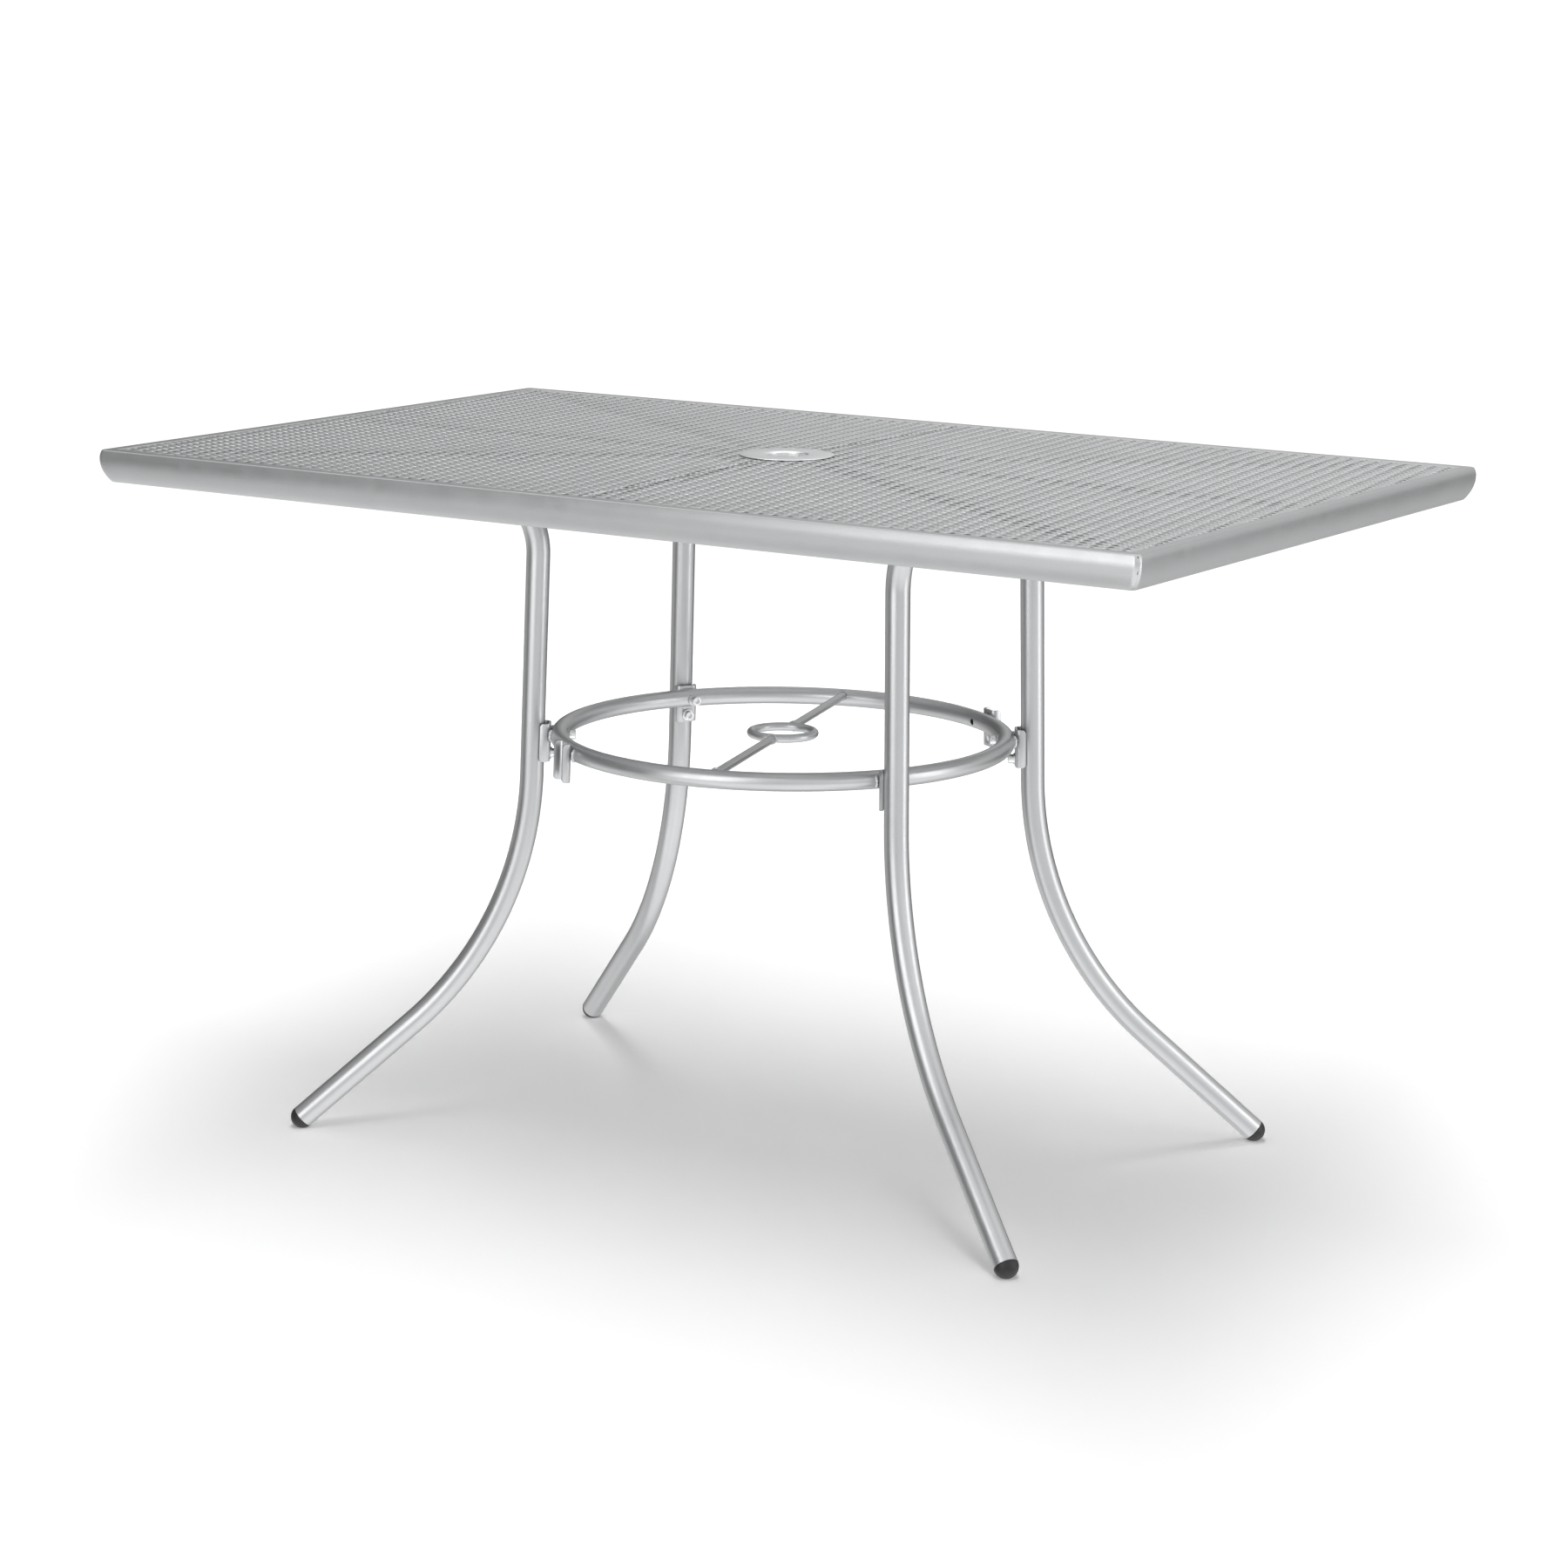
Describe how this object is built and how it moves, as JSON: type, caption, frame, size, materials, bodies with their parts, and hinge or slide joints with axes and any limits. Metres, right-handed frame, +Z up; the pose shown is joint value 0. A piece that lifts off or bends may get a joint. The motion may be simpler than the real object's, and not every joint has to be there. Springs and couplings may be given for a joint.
{
  "type": "garden dining table",
  "caption": "Rectangular metal garden table: mesh top in rolled rims with an umbrella hole, splayed bent tube legs bolted to a round tube brace.",
  "frame": {"origin": "on the floor under the centre of the table top", "axes": "+Z up, +X along the long side of the top, +Y along its short side"},
  "size_m": [1.22, 0.77, 0.7387],
  "materials": {
    "frame": "silver grey textured powder coat",
    "mesh": "silver grey powder coat on flattened expanded mesh",
    "plate": "smooth silver grey powder coat",
    "fastener": "bright zinc plated",
    "insert": "yellow passivated zinc",
    "cap": "black moulded plastic"
  },
  "bodies": {
    "root": {"rim_front": "frame", "rim_right": "frame", "rim_back": "frame", "rim_left": "frame", "mesh_left": "mesh", "mesh_right": "mesh", "umbrella_plate": "plate", "hub_plate": "frame", "seam_brace_front": "frame", "seam_brace_back": "frame", "long_brace_left": "frame", "long_brace_right": "frame", "corner_brace_back_right": "frame", "corner_brace_back_left": "frame", "corner_brace_front_left": "frame", "corner_brace_front_right": "frame", "leg_back_right": "frame", "leg_back_left": "frame", "leg_front_left": "frame", "leg_front_right": "frame", "foot_cap_back_right": "cap", "foot_cap_back_left": "cap", "foot_cap_front_left": "cap", "foot_cap_front_right": "cap", "arm_plug_back_right": "cap", "arm_plug_back_left": "cap", "arm_plug_front_left": "cap", "arm_plug_front_right": "cap", "ring_tube": "frame", "centre_ring": "frame", "cross_rod_front": "frame", "cross_rod_back": "frame", "bracket_back_right": "frame", "bracket_back_left": "frame", "bracket_front_left": "frame", "bracket_front_right": "frame", "spare_bracket_back": "frame", "spare_bracket_front": "frame", "long_screws": "fastener", "short_screws": "fastener", "saddle_washers": "fastener", "flat_washers": "fastener", "rivet_nuts": "insert", "arm_screws": "fastener", "arm_washers": "fastener"}
  },
  "joints": []
}
